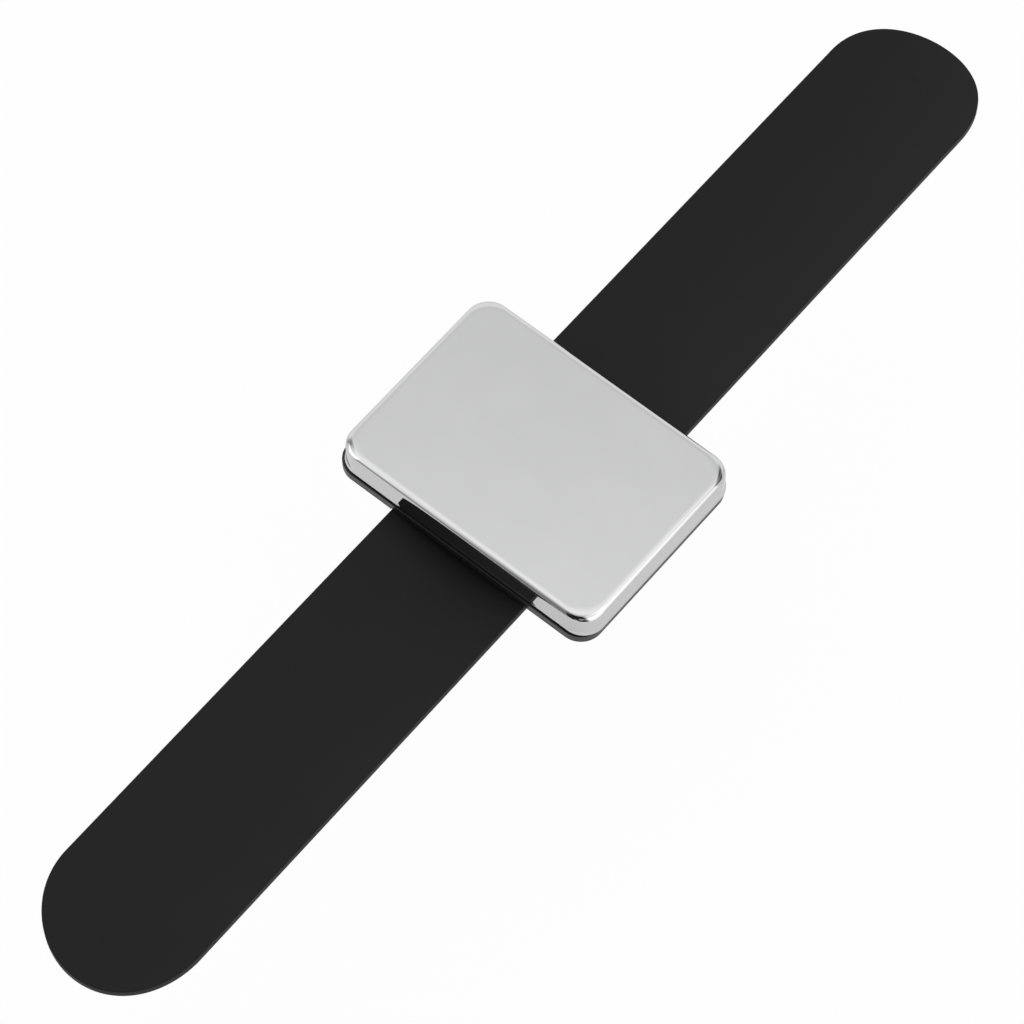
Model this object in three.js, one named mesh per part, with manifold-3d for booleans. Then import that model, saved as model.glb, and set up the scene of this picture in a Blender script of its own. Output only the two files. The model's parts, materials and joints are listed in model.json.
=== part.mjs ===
// Magnetic hair clip wristband: a steel-faced magnet case on a snap-round silicone band.
// Millimetres, +Z up. X runs along the band, Y across it. The origin is at the middle of the
// clamp plate's underside, which is the lowest face.

import * as THREE from 'three';
import { mergeVertices } from 'three/addons/utils/BufferGeometryUtils.js';
import Module from 'manifold-3d';

const wasm = await Module();
wasm.setup();

// Band and the spring strip in it
const BAND_LENGTH = 236.5;
const BAND_WIDTH = 30;
const BAND_THICKNESS = 1.8;
const BOW_RADIUS = 40.7;
const SPRING_THICKNESS = 0.4;
const SPRING_MARGIN = 3;
const SPRING_CLEARANCE = 0.2;

// Links that stand for the bending of each arm, counted from the case outwards
const SHORT_LINKS = 8;
const SHORT_LINK_LENGTH = 8.4;
const LONG_LINKS = 2;
const LINK_GAP = 0.5;
const HINGE_OFFSET = 1.5;

// Clamp plate below the band
const BRIDGE_LENGTH = 26;
const BRIDGE_FLOOR = 1.2;
const BRIDGE_HEIGHT = 3;
const BRIDGE_CORNER = 2.5;
const BAND_FIT = 0.2;

// Screws from the clamp plate up into the tray
const SCREW_RADIUS = 1;
const SCREW_LENGTH = 5;
const SCREW_HEAD_RADIUS = 1.9;
const SCREW_HEAD_HEIGHT = 1.2;
const SCREW_FACE_RADIUS = 1.5;
const SCREW_FACE_EDGE = 0.4;
const SCREW_POINT = 0.5;
const SCREW_SINK = 0.2;
const SCREW_SPACING = 18;
const SCREW_FIT = 0.3;
const BOSS_WALL = 1.6;
const BOSS_TO_BAND = 0.8;

// Drawn steel cover
const COVER_LENGTH = 56;
const COVER_WIDTH = 40.5;
const COVER_HEIGHT = 4.95;
const COVER_CORNER = 4.8;
const COVER_FILLET = 1.4;
const COVER_SHEET = 0.5;
const COVER_SHIFT = 0.4;

// Moulded tray inside and under the cover
const LIP_THICKNESS = 1.85;
const LIP_EDGE = 0.4;
const LIP_OUTSET = 0.1;
const LIP_REVEAL = 0.45;
const RIM_CLEARANCE = 0.2;
const TRAY_WALL = 1.2;
const TRAY_FIT = 0.75;
const RIB = 1;
const SADDLE_INSET = 2.5;

// Magnets in the tray's pockets
const MAGNET_ROWS = 2;
const MAGNET_COLUMNS = 3;
const MAGNET_FIT = 0.3;
const GLUE_LINE = 0.1;

// Facets, the smallest corner, and the length by which a cutting tool runs past what it cuts
const BOW_STEPS = 5;
const TIP_STEPS = 16;
const CORNER_STEPS = 3;
const FILLET_STEPS = 4;
const ROUND_STEPS = 16;
const LEAST_CORNER = 0.2;
const OVERCUT = 1;

// Heights, from the resting face up
const bandBottom = BRIDGE_FLOOR + BAND_FIT;
const bandTop = bandBottom + BAND_THICKNESS;
const bowCentre = bandTop + BOW_RADIUS;
const bandHalfChord = BOW_RADIUS * Math.sin(BAND_WIDTH / 2 / BOW_RADIUS);
const bandRim = bowCentre - Math.sqrt(BOW_RADIUS ** 2 - bandHalfChord ** 2);
const lipBottom = bandRim + RIM_CLEARANCE;
const lipTop = lipBottom + LIP_THICKNESS;
const coverBottom = lipTop + LIP_REVEAL;
const coverTop = coverBottom + COVER_HEIGHT;
const coverCeiling = coverTop - COVER_SHEET;
const innerFillet = Math.max(COVER_FILLET - COVER_SHEET, COVER_SHEET);
const springTop = (BAND_THICKNESS - SPRING_THICKNESS) / 2;
const springBottom = springTop + SPRING_THICKNESS;
const hingeHeight = bandBottom + BAND_THICKNESS / 2;

// Plan sizes of the tray, from the cover inwards
const trayLength = COVER_LENGTH - 2 * (COVER_SHEET + TRAY_FIT);
const trayWidth = COVER_WIDTH - 2 * (COVER_SHEET + TRAY_FIT);
const trayCorner = COVER_CORNER - COVER_SHEET - TRAY_FIT;
const roomLength = trayLength - 2 * TRAY_WALL;
const roomWidth = trayWidth - 2 * TRAY_WALL;
const roomCorner = trayCorner - TRAY_WALL;
const pocketLength = (roomLength - (MAGNET_COLUMNS - 1) * RIB) / MAGNET_COLUMNS;
const pocketWidth = (roomWidth - (MAGNET_ROWS - 1) * RIB) / MAGNET_ROWS;
const lipLength = COVER_LENGTH + 2 * LIP_OUTSET;
const lipWidth = COVER_WIDTH + 2 * LIP_OUTSET;
const lipCorner = COVER_CORNER + LIP_OUTSET;
const trayY = (COVER_SHIFT - LIP_OUTSET) / 2;
const coverY = -(COVER_SHIFT + LIP_OUTSET) / 2;

// Screw places, just outside the band's edges
const bossRadius = SCREW_RADIUS + SCREW_FIT + BOSS_WALL;
const screwY = bandHalfChord + BOSS_TO_BAND + bossRadius;
const screwPlaces = [-1, 1].flatMap((sx) => [-1, 1].map((sy) => [sx * SCREW_SPACING / 2, sy * screwY]));
const bridgeWidth = 2 * (screwY + bossRadius);
const headSeat = SCREW_SINK + SCREW_HEAD_HEIGHT;

// Materials
const polishedSteel = new THREE.MeshStandardMaterial({ color: 0xd2d3d4, roughness: 0.16, metalness: 1 });
const blackPlastic = new THREE.MeshStandardMaterial({ color: 0x1c1c1d, roughness: 0.45, metalness: 0 });
const blackSilicone = new THREE.MeshStandardMaterial({ color: 0x272728, roughness: 0.75, metalness: 0 });
const springSteel = new THREE.MeshStandardMaterial({ color: 0x8d9298, roughness: 0.35, metalness: 1 });
const ferrite = new THREE.MeshStandardMaterial({ color: 0x3d3d40, roughness: 0.8, metalness: 0.1 });
const screwSteel = new THREE.MeshStandardMaterial({ color: 0xa9acb0, roughness: 0.3, metalness: 1 });

// A closed geometry as a solid for joining and cutting.
function solid(geometry) {
  const bare = geometry.clone();
  bare.deleteAttribute('normal');
  bare.deleteAttribute('uv');
  const welded = mergeVertices(bare, 1e-5);
  const vertProperties = new Float32Array(welded.attributes.position.array);
  const triVerts = new Uint32Array(welded.index.array);
  return new wasm.Manifold(new wasm.Mesh({ numProp: 3, vertProperties, triVerts }));
}

// A solid back as a geometry.
function geometryOf(body) {
  const mesh = body.getMesh();
  const geometry = new THREE.BufferGeometry();
  geometry.setAttribute('position', new THREE.BufferAttribute(new Float32Array(mesh.vertProperties), 3));
  geometry.setIndex(new THREE.BufferAttribute(new Uint32Array(mesh.triVerts), 1));
  geometry.computeVertexNormals();
  return geometry;
}

// A plan outline raised from one height to another.
function raised(shape, low, high) {
  const settings = { depth: high - low, bevelEnabled: false, curveSegments: CORNER_STEPS };
  return new THREE.ExtrudeGeometry(shape, settings).translate(0, 0, low);
}

// A section in Y and Z drawn along X.
function drawnAlongX(shape, from, to, curveSegments) {
  const geometry = new THREE.ExtrudeGeometry(shape, { depth: to - from, bevelEnabled: false, curveSegments });
  const turn = new THREE.Matrix4().makeBasis(
    new THREE.Vector3(0, 1, 0),
    new THREE.Vector3(0, 0, 1),
    new THREE.Vector3(1, 0, 0),
  );
  return geometry.applyMatrix4(turn).translate(from, 0, 0);
}

function box(low, high) {
  const size = high.map((value, axis) => value - low[axis]);
  const middle = high.map((value, axis) => (value + low[axis]) / 2);
  return new THREE.BoxGeometry(...size).translate(...middle);
}

// An upright round post.
function post(radius, low, high) {
  const geometry = new THREE.CylinderGeometry(radius, radius, high - low, ROUND_STEPS);
  return geometry.rotateX(Math.PI / 2).translate(0, 0, (low + high) / 2);
}

// A rectangle with round corners, centred on the origin. Each corner is a quarter arc.
function roundedRectangle(width, length, corner) {
  const r = Math.max(corner, LEAST_CORNER);
  const x = width / 2 - r;
  const y = length / 2 - r;
  const shape = new THREE.Shape();
  [[x, y], [-x, y], [-x, -y], [x, -y]].forEach(([cx, cy], quarter) => {
    shape.absarc(cx, cy, r, quarter * Math.PI / 2, (quarter + 1) * Math.PI / 2, false);
  });
  return shape;
}

// A block with round corners whose top edge is rounded over by a fillet.
function domedBlock(width, length, corner, fillet, low, high) {
  const levels = [{ inset: 0, z: low }];
  for (let step = 0; step <= FILLET_STEPS; step += 1) {
    const angle = (step / FILLET_STEPS) * (Math.PI / 2);
    levels.push({ inset: fillet * (1 - Math.cos(angle)), z: high - fillet * (1 - Math.sin(angle)) });
  }
  const rings = levels.map(({ inset, z }) => {
    const shape = roundedRectangle(width - 2 * inset, length - 2 * inset, corner - inset);
    return shape.extractPoints(CORNER_STEPS).shape.map((p) => [p.x, p.y, z]);
  });
  const count = rings[0].length;
  const positions = [...rings.flat().flat(), 0, 0, low, 0, 0, high];
  const bottom = rings.length * count;
  const top = bottom + 1;
  const last = (rings.length - 1) * count;
  const index = [];
  for (let k = 0; k < count; k += 1) {
    const next = (k + 1) % count;
    index.push(bottom, next, k, top, last + k, last + next);
    for (let ring = 0; ring < last; ring += count) {
      index.push(ring + k, ring + next, ring + count + k, ring + next, ring + count + next, ring + count + k);
    }
  }
  const geometry = new THREE.BufferGeometry();
  geometry.setAttribute('position', new THREE.Float32BufferAttribute(positions, 3));
  geometry.setIndex(index);
  return geometry;
}

// The band's plan with round ends, drawn in by a margin. Widths are measured along the bow.
function bandOutline(margin) {
  const half = BAND_WIDTH / 2 - margin;
  const straight = BAND_LENGTH / 2 - BAND_WIDTH / 2;
  const across = (width) => BOW_RADIUS * Math.sin(width / BOW_RADIUS);
  const points = [1, -1].flatMap((side) => Array.from({ length: TIP_STEPS + 1 }, (_, k) => {
    const angle = Math.PI * (k / TIP_STEPS - 0.5);
    return new THREE.Vector2(side * (straight + half * Math.cos(angle)), side * across(half * Math.sin(angle)));
  }));
  return new THREE.Shape(points);
}

// The layer between two depths below the band's top surface, bowed across Y.
function bowedLayer(upper, lower) {
  const reach = (BAND_WIDTH / 2 + OVERCUT) / BOW_RADIUS;
  const down = 1.5 * Math.PI;
  const section = new THREE.Shape();
  section.absarc(0, bowCentre, BOW_RADIUS + lower, down - reach, down + reach, false);
  section.absarc(0, bowCentre, BOW_RADIUS + upper, down + reach, down - reach, true);
  return drawnAlongX(section, -BAND_LENGTH / 2 - OVERCUT, BAND_LENGTH / 2 + OVERCUT, BOW_STEPS);
}

function strip(margin, upper, lower) {
  const outline = raised(bandOutline(margin), -OVERCUT, coverTop);
  return solid(bowedLayer(upper, lower)).intersect(solid(outline));
}

// The stretch of a strip between two places along the band.
function stretch(body, from, to) {
  const reach = BAND_WIDTH / 2 + OVERCUT;
  return body.intersect(solid(box([from, -reach, -OVERCUT], [to, reach, coverTop])));
}

function mesh(name, geometry, material) {
  const part = new THREE.Mesh(geometry, material);
  part.name = name;
  return part;
}

// The band's sleeve with the spring's pocket in it, and the spring.
const pocketMargin = SPRING_MARGIN - SPRING_CLEARANCE;
const pocket = strip(pocketMargin, springTop - SPRING_CLEARANCE, springBottom + SPRING_CLEARANCE);
const sleeve = strip(0, 0, BAND_THICKNESS).subtract(pocket);
const spring = strip(SPRING_MARGIN, springTop, springBottom);

// Hinge places along one arm: short links where the wrist's sides turn, long ones to the tip.
const firstHinge = BRIDGE_LENGTH / 2 + HINGE_OFFSET;
const longLinkLength = (BAND_LENGTH / 2 - firstHinge - SHORT_LINKS * SHORT_LINK_LENGTH) / LONG_LINKS;
const hinges = Array.from({ length: SHORT_LINKS + LONG_LINKS }, (_, k) => (
  firstHinge + Math.min(k, SHORT_LINKS) * SHORT_LINK_LENGTH + Math.max(k - SHORT_LINKS, 0) * longLinkLength
));

// One arm as a chain of links, each in a group that sits at its hinge. Side is 1 or -1 along X.
function arm(name, side) {
  const root = new THREE.Group();
  let parent = root;
  let reached = new THREE.Vector3();
  hinges.forEach((x, k) => {
    const hinge = new THREE.Vector3(side * x, 0, hingeHeight);
    const link = new THREE.Group();
    link.position.copy(hinge).sub(reached);
    const end = k + 1 < hinges.length ? hinges[k + 1] - LINK_GAP / 2 : BAND_LENGTH / 2 + OVERCUT;
    const limits = [side * (x + LINK_GAP / 2), side * end].sort((a, b) => a - b);
    const layers = [['band', sleeve, blackSilicone], ['spring', spring, springSteel]];
    layers.forEach(([layer, body, material]) => {
      const geometry = geometryOf(stretch(body, ...limits)).translate(-hinge.x, 0, -hinge.z);
      link.add(mesh(`${name}_${layer}_${k + 1}`, geometry, material));
    });
    parent.add(link);
    parent = link;
    reached = hinge;
  });
  return root;
}

function bandCentre() {
  const group = new THREE.Group();
  const end = firstHinge - LINK_GAP / 2;
  group.add(mesh('band_centre', geometryOf(stretch(sleeve, -end, end)), blackSilicone));
  group.add(mesh('spring_centre', geometryOf(stretch(spring, -end, end)), springSteel));
  return group;
}

// The clamp plate: a flat-bottomed block with a trough for the band and sunk screw holes.
function strapBridge() {
  const block = solid(raised(roundedRectangle(BRIDGE_LENGTH, bridgeWidth, BRIDGE_CORNER), 0, BRIDGE_HEIGHT));
  const channel = solid(bowedLayer(-BOW_RADIUS / 2, BAND_THICKNESS + BAND_FIT));
  let body = block.subtract(channel);
  screwPlaces.forEach(([x, y]) => {
    const hole = post(SCREW_RADIUS + SCREW_FIT, -OVERCUT, BRIDGE_HEIGHT + OVERCUT).translate(x, y, 0);
    const sink = post(SCREW_HEAD_RADIUS + SCREW_FIT, -OVERCUT, headSeat).translate(x, y, 0);
    body = body.subtract(solid(hole)).subtract(solid(sink));
  });
  return mesh('strap_bridge', geometryOf(body), blackPlastic);
}

// A pan-head screw, standing head down on its axis.
function screwGeometry() {
  const tip = headSeat + SCREW_LENGTH;
  const profile = [
    new THREE.Vector2(0, SCREW_SINK),
    new THREE.Vector2(SCREW_FACE_RADIUS, SCREW_SINK),
    new THREE.Vector2(SCREW_HEAD_RADIUS, SCREW_SINK + SCREW_FACE_EDGE),
    new THREE.Vector2(SCREW_HEAD_RADIUS, headSeat),
    new THREE.Vector2(SCREW_RADIUS, headSeat),
    new THREE.Vector2(SCREW_RADIUS, tip - SCREW_POINT),
    new THREE.Vector2(SCREW_RADIUS - SCREW_POINT, tip),
    new THREE.Vector2(0, tip),
  ];
  return new THREE.LatheGeometry(profile, ROUND_STEPS).rotateX(Math.PI / 2);
}

function screws() {
  const group = new THREE.Group();
  screwPlaces.forEach(([x, y], k) => {
    const screw = mesh(`screw_${k + 1}`, geometryOf(solid(screwGeometry())), screwSteel);
    screw.position.set(x, y, 0);
    group.add(screw);
  });
  return group;
}

// The tray: lip plate, wall inside the cover, ribs between the magnets, saddle in the band's
// hollow and bosses for the screws.
function baseTray() {
  const wallTop = coverCeiling - GLUE_LINE;
  const ribBottom = lipTop - LIP_EDGE;
  const lip = raised(roundedRectangle(lipWidth, lipLength, lipCorner), lipBottom, lipTop);
  const wall = domedBlock(trayWidth, trayLength, trayCorner, innerFillet, ribBottom, wallTop);
  const room = raised(roundedRectangle(roomWidth, roomLength, roomCorner), lipTop, coverTop);
  const ribs = [];
  for (let k = 1; k < MAGNET_ROWS; k += 1) {
    const x = k * (pocketWidth + RIB) - RIB / 2 - roomWidth / 2;
    const reach = (roomLength + TRAY_WALL) / 2;
    ribs.push(box([x - RIB / 2, -reach, ribBottom], [x + RIB / 2, reach, wallTop - innerFillet]));
  }
  for (let k = 1; k < MAGNET_COLUMNS; k += 1) {
    const y = k * (pocketLength + RIB) - RIB / 2 - roomLength / 2;
    const reach = (roomWidth + TRAY_WALL) / 2;
    ribs.push(box([-reach, y - RIB / 2, ribBottom], [reach, y + RIB / 2, wallTop - innerFillet]));
  }
  [lip, wall, room, ...ribs].forEach((geometry) => geometry.translate(0, trayY, 0));
  let body = solid(lip).add(solid(wall)).subtract(solid(room));
  ribs.forEach((rib) => {
    body = body.add(solid(rib));
  });
  const saddleHalf = bandHalfChord - SADDLE_INSET;
  const saddleHigh = lipBottom + LIP_EDGE;
  const saddle = box([-BRIDGE_LENGTH / 2, -saddleHalf, bandTop], [BRIDGE_LENGTH / 2, saddleHalf, saddleHigh]);
  body = body.add(solid(saddle).subtract(solid(bowedLayer(-BAND_FIT, BAND_WIDTH / 2))));
  screwPlaces.forEach(([x, y]) => {
    body = body.add(solid(post(bossRadius, BRIDGE_HEIGHT, saddleHigh).translate(x, y, 0)));
  });
  screwPlaces.forEach(([x, y]) => {
    const depth = headSeat + SCREW_LENGTH + SCREW_FIT;
    body = body.subtract(solid(post(SCREW_RADIUS + SCREW_FIT, 0, depth).translate(x, y, 0)));
  });
  return mesh('base_tray', geometryOf(body), blackPlastic);
}

// Block magnets on the tray's floor, one in each pocket.
function magnets() {
  const group = new THREE.Group();
  const width = pocketWidth - 2 * MAGNET_FIT;
  const length = pocketLength - 2 * MAGNET_FIT;
  const height = coverCeiling - lipTop - 2 * GLUE_LINE;
  for (let row = 0; row < MAGNET_ROWS; row += 1) {
    for (let column = 0; column < MAGNET_COLUMNS; column += 1) {
      const number = row * MAGNET_COLUMNS + column + 1;
      const block = raised(roundedRectangle(width, length, roomCorner), 0, height);
      const magnet = mesh(`magnet_${number}`, block, ferrite);
      magnet.position.set(
        (row - (MAGNET_ROWS - 1) / 2) * (pocketWidth + RIB),
        (column - (MAGNET_COLUMNS - 1) / 2) * (pocketLength + RIB) + trayY,
        lipTop + GLUE_LINE,
      );
      group.add(magnet);
    }
  }
  return group;
}

// The drawn cap, open below. It is glued on a little off centre across the band.
function steelCover() {
  const outer = domedBlock(COVER_WIDTH, COVER_LENGTH, COVER_CORNER, COVER_FILLET, coverBottom, coverTop);
  const inner = domedBlock(
    COVER_WIDTH - 2 * COVER_SHEET,
    COVER_LENGTH - 2 * COVER_SHEET,
    COVER_CORNER - COVER_SHEET,
    innerFillet,
    coverBottom - OVERCUT,
    coverCeiling,
  );
  const cover = mesh('steel_cover', geometryOf(solid(outer).subtract(solid(inner))), polishedSteel);
  cover.position.y = coverY;
  return cover;
}

const wristband = new THREE.Group();
wristband.add(strapBridge(), screws(), bandCentre(), arm('left', -1), arm('right', 1));
wristband.add(baseTray(), magnets(), steelCover());

export default wristband;
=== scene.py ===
"""Looks of a magnetic hair clip wristband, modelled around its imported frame.

A polished steel cap over block magnets sits on a black tray, which is screwed to a clamp plate
with a snap-round silicone band between them. Everything is in metres, in the frame's own axes:
X along the band, Y across it, Z up. Sizes in the classes are written in millimetres times MM.
"""

from __future__ import annotations

import json
import logging
import math
from collections.abc import Callable, Sequence
from dataclasses import dataclass
from enum import Enum

import bmesh
import bpy
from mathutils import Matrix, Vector

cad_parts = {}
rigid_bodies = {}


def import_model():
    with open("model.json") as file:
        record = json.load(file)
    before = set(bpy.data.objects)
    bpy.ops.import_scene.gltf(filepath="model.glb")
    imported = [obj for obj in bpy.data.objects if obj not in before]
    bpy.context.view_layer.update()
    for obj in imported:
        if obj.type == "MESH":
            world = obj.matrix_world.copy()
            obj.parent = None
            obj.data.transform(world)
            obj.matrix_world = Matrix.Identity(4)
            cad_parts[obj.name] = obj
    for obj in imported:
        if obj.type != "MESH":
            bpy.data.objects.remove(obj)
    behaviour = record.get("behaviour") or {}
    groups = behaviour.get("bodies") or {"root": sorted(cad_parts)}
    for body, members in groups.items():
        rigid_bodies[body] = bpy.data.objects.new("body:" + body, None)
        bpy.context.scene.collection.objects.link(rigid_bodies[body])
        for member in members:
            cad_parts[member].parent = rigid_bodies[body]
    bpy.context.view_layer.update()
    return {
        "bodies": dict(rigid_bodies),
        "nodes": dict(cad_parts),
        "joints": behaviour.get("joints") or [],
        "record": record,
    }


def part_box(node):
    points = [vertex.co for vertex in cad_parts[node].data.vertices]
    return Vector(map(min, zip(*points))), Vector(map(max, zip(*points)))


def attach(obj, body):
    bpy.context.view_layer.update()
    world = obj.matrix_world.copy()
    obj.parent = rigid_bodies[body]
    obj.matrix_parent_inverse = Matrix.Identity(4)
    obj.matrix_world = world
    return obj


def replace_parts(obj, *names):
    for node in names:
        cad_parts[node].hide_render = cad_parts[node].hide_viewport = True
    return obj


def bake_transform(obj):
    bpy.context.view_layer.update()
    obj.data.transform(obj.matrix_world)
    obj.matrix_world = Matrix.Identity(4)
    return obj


LOG = logging.getLogger("wristband")
MM = 0.001
QUARTER = math.pi / 2
WELD = 0.0005 * MM
ALONG = (1.0, 0.0, 0.0)
ACROSS = (0.0, 1.0, 0.0)
WHITE = (1.0, 1.0, 1.0, 1.0)

Triple = tuple[float, float, float]


class Slot(Enum):
    """The record's material slots."""

    POLISHED_STEEL = "polished_steel"
    BLACK_PLASTIC = "black_plastic"
    SILICONE = "silicone"
    SPRING_STEEL = "spring_steel"
    FERRITE = "ferrite"
    SCREW_STEEL = "screw_steel"


class Side(Enum):
    """The two arms of the band, with the way that each runs along X."""

    LEFT = -1
    RIGHT = 1

    @property
    def word(self) -> str:
        """The side as it stands in the frame's names."""
        return self.name.lower()


class Carving(Enum):
    """What a tool does to the piece that it is used on."""

    ADD = "UNION"
    CUT = "DIFFERENCE"


class Value:
    """A node's output that takes part in Python arithmetic."""

    def __init__(self, nodes: Nodes, socket: bpy.types.NodeSocket | None) -> None:
        """Keep a socket and the nodes that it belongs to.

        Args:
            nodes: The builder of the tree that holds the socket.
            socket: The output, or None for a node that has none.
        """
        self.nodes = nodes
        self.socket = socket

    def __add__(self, other: Value | float) -> Value:
        """This plus other."""
        return self.nodes.math("ADD", self, other)

    def __radd__(self, other: float) -> Value:
        """Other plus this."""
        return self.nodes.math("ADD", other, self)

    def __sub__(self, other: Value | float) -> Value:
        """This minus other."""
        return self.nodes.math("SUBTRACT", self, other)

    def __rsub__(self, other: float) -> Value:
        """Other minus this."""
        return self.nodes.math("SUBTRACT", other, self)

    def __mul__(self, other: Value | float) -> Value:
        """This times other."""
        return self.nodes.math("MULTIPLY", self, other)

    def __rmul__(self, other: float) -> Value:
        """Other times this."""
        return self.nodes.math("MULTIPLY", other, self)

    def __truediv__(self, other: Value | float) -> Value:
        """This over other."""
        return self.nodes.math("DIVIDE", self, other)

    def __abs__(self) -> Value:
        """This without its sign."""
        return self.nodes.math("ABSOLUTE", self)


class Nodes:
    """Adds nodes to one tree and links them."""

    # a Mix node's numbers of its two inputs and its result, by data type
    MIX_SOCKETS = {"RGBA": (6, 7, 2), "VECTOR": (4, 5, 1)}

    def __init__(self, tree: bpy.types.NodeTree) -> None:
        """Start on an empty tree.

        Args:
            tree: The shader or geometry tree to fill.
        """
        self.tree = tree
        tree.nodes.clear()

    def node(
        self,
        kind: str,
        settings: dict | None = None,
        inputs: dict | None = None,
        output: int | str = 0,
    ) -> Value:
        """Add one node.

        Args:
            kind: The node's type.
            settings: Its properties, set first.
            inputs: Values or links of its sockets by name or number; a list links many.
            output: Which output to hand back.

        Returns:
            That output.
        """
        made = self.tree.nodes.new(kind)
        for key, value in (settings or {}).items():
            setattr(made, key, value)
        for key, value in (inputs or {}).items():
            for one in value if isinstance(value, list) else [value]:
                if isinstance(one, Value):
                    self.tree.links.new(one.socket, made.inputs[key])
                else:
                    made.inputs[key].default_value = one
        return Value(self, made.outputs[output] if made.outputs else None)

    def math(self, operation: str, *values: Value | float) -> Value:
        """A Math node on numbers or values."""
        return self.node("ShaderNodeMath", {"operation": operation}, dict(enumerate(values)))

    def vector(self, operation: str, *values: Value | Sequence[float], output: int | str = 0) -> Value:
        """A Vector Math node on vectors."""
        inputs = dict(enumerate(values))
        return self.node("ShaderNodeVectorMath", {"operation": operation}, inputs, output)

    def ranged(
        self, value: Value, start: float, end: float, low: float, high: float, ease: str = "LINEAR"
    ) -> Value:
        """Value mapped from start..end to low..high and held there.

        Args:
            value: What is mapped.
            start: Where low is reached.
            end: Where high is reached.
            low: The result at start.
            high: The result at end.
            ease: The Map Range node's interpolation.

        Returns:
            The mapped value.
        """
        inputs = {"Value": value, "From Min": start, "From Max": end, "To Min": low, "To Max": high}
        return self.node("ShaderNodeMapRange", {"interpolation_type": ease, "clamp": True}, inputs)

    def noise(self, at: Value, size: float, detail: float = 3.0) -> Value:
        """Smooth noise from 0 to 1.

        Args:
            at: The place that it is read at.
            size: The size of its cells, in metres.
            detail: How many finer layers it has.

        Returns:
            The noise.
        """
        return self.node("ShaderNodeTexNoise", None, {"Vector": at, "Scale": 1 / size, "Detail": detail})

    def stretched(self, scale: Sequence[float]) -> Value:
        """Object coordinates with each axis scaled."""
        at = self.node("ShaderNodeTexCoord", output="Object")
        return self.node("ShaderNodeMapping", None, {"Vector": at, "Scale": scale})

    def bump(self, height: Value, depth: float) -> Value:
        """A normal from a height field from 0 to 1, with its depth in metres."""
        return self.node("ShaderNodeBump", None, {"Height": height, "Distance": depth, "Strength": 1.0})

    def mixed(self, kind: str, factor: Value, low: object, high: object) -> Value:
        """A Mix node's blend of two colours or vectors.

        Args:
            kind: The node's data type.
            factor: The share of high, from 0 to 1.
            low: The colour or vector at 0.
            high: The colour or vector at 1.

        Returns:
            The blend.
        """
        first, second, result = self.MIX_SOCKETS[kind]
        inputs = {0: factor, first: low, second: high}
        return self.node("ShaderNodeMix", {"data_type": kind}, inputs, result)

    def colour(self, factor: Value, dark: Triple, light: Triple) -> Value:
        """A colour between two by a factor from 0 to 1."""
        return self.mixed("RGBA", factor, (*dark, 1.0), (*light, 1.0))

    def ray(self, kind: str) -> Value:
        """Whether a ray is of a kind, such as Camera or Glossy."""
        return self.node("ShaderNodeLightPath", output=f"Is {kind} Ray")


@dataclass(frozen=True)
class Finish:
    """A surface finish with a procedural material.

    Its colour lies between dark and light, and its roughness rises by up to unevenness.
    """

    name: str
    slot: Slot
    dark: Triple
    light: Triple
    roughness: float
    unevenness: float

    def material(self) -> bpy.types.Material:
        """The finish as a material.

        Returns:
            The material, made when it is first asked for.
        """
        made = bpy.data.materials.get(self.name)
        if made is None:
            made = bpy.data.materials.new(self.name)
            made.use_nodes = True
            nodes = Nodes(made.node_tree)
            nodes.node("ShaderNodeOutputMaterial", None, {"Surface": self.surface(nodes)})
        return made

    def surface(self, nodes: Nodes) -> Value:
        """The finish's shader, made by each kind of finish."""
        raise NotImplementedError

    def dress(self, piece: bpy.types.Object) -> None:
        """Give a piece this finish.

        Args:
            piece: The piece.
        """
        piece.data.materials.clear()
        piece.data.materials.append(self.material())


@dataclass(frozen=True)
class Metal(Finish):
    """Bare metal with fine marks.

    marks are the marks' counts per metre along each axis, and patch is the size of its patches of tone.
    """

    marks: Triple
    mark_depth: float
    patch: float
    patch_share: float = 0.6

    def surface(self, nodes: Nodes) -> Value:
        """Metal whose gloss and tone drift in patches, with the marks as a fine bump.

        Args:
            nodes: The material's nodes.

        Returns:
            The shader.
        """
        at = nodes.node("ShaderNodeTexCoord", output="Object")
        patches = nodes.noise(at, self.patch)
        marks = nodes.noise(nodes.stretched(self.marks), 1.0, detail=2.0)
        uneven = patches * self.patch_share + marks * (1 - self.patch_share)
        inputs = {
            "Base Color": nodes.colour(patches, self.dark, self.light),
            "Metallic": 1.0,
            "Roughness": self.roughness + self.unevenness * uneven,
            "Normal": nodes.bump(marks, self.mark_depth),
        }
        return nodes.node("ShaderNodeBsdfPrincipled", None, inputs)


@dataclass(frozen=True)
class Moulded(Finish):
    """Plastic, rubber or ceramic with a fine grain.

    grain and cloud are the sizes of its texture and of its clouds of tone, and gloss is its specular level.
    """

    grain: float
    grain_depth: float
    cloud: float
    gloss: float
    cloud_share: float = 0.7

    def surface(self, nodes: Nodes) -> Value:
        """A plain body colour with clouds of tone, and grain in its gloss and bump.

        Args:
            nodes: The material's nodes.

        Returns:
            The shader.
        """
        at = nodes.node("ShaderNodeTexCoord", output="Object")
        clouds = nodes.noise(at, self.cloud)
        grain = nodes.noise(at, self.grain)
        tone = clouds * self.cloud_share + grain * (1 - self.cloud_share)
        inputs = {
            "Base Color": nodes.colour(tone, self.dark, self.light),
            "Roughness": self.roughness + self.unevenness * grain,
            "Specular IOR Level": self.gloss,
            "Normal": nodes.bump(grain, self.grain_depth),
        }
        return nodes.node("ShaderNodeBsdfPrincipled", None, inputs)


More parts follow.
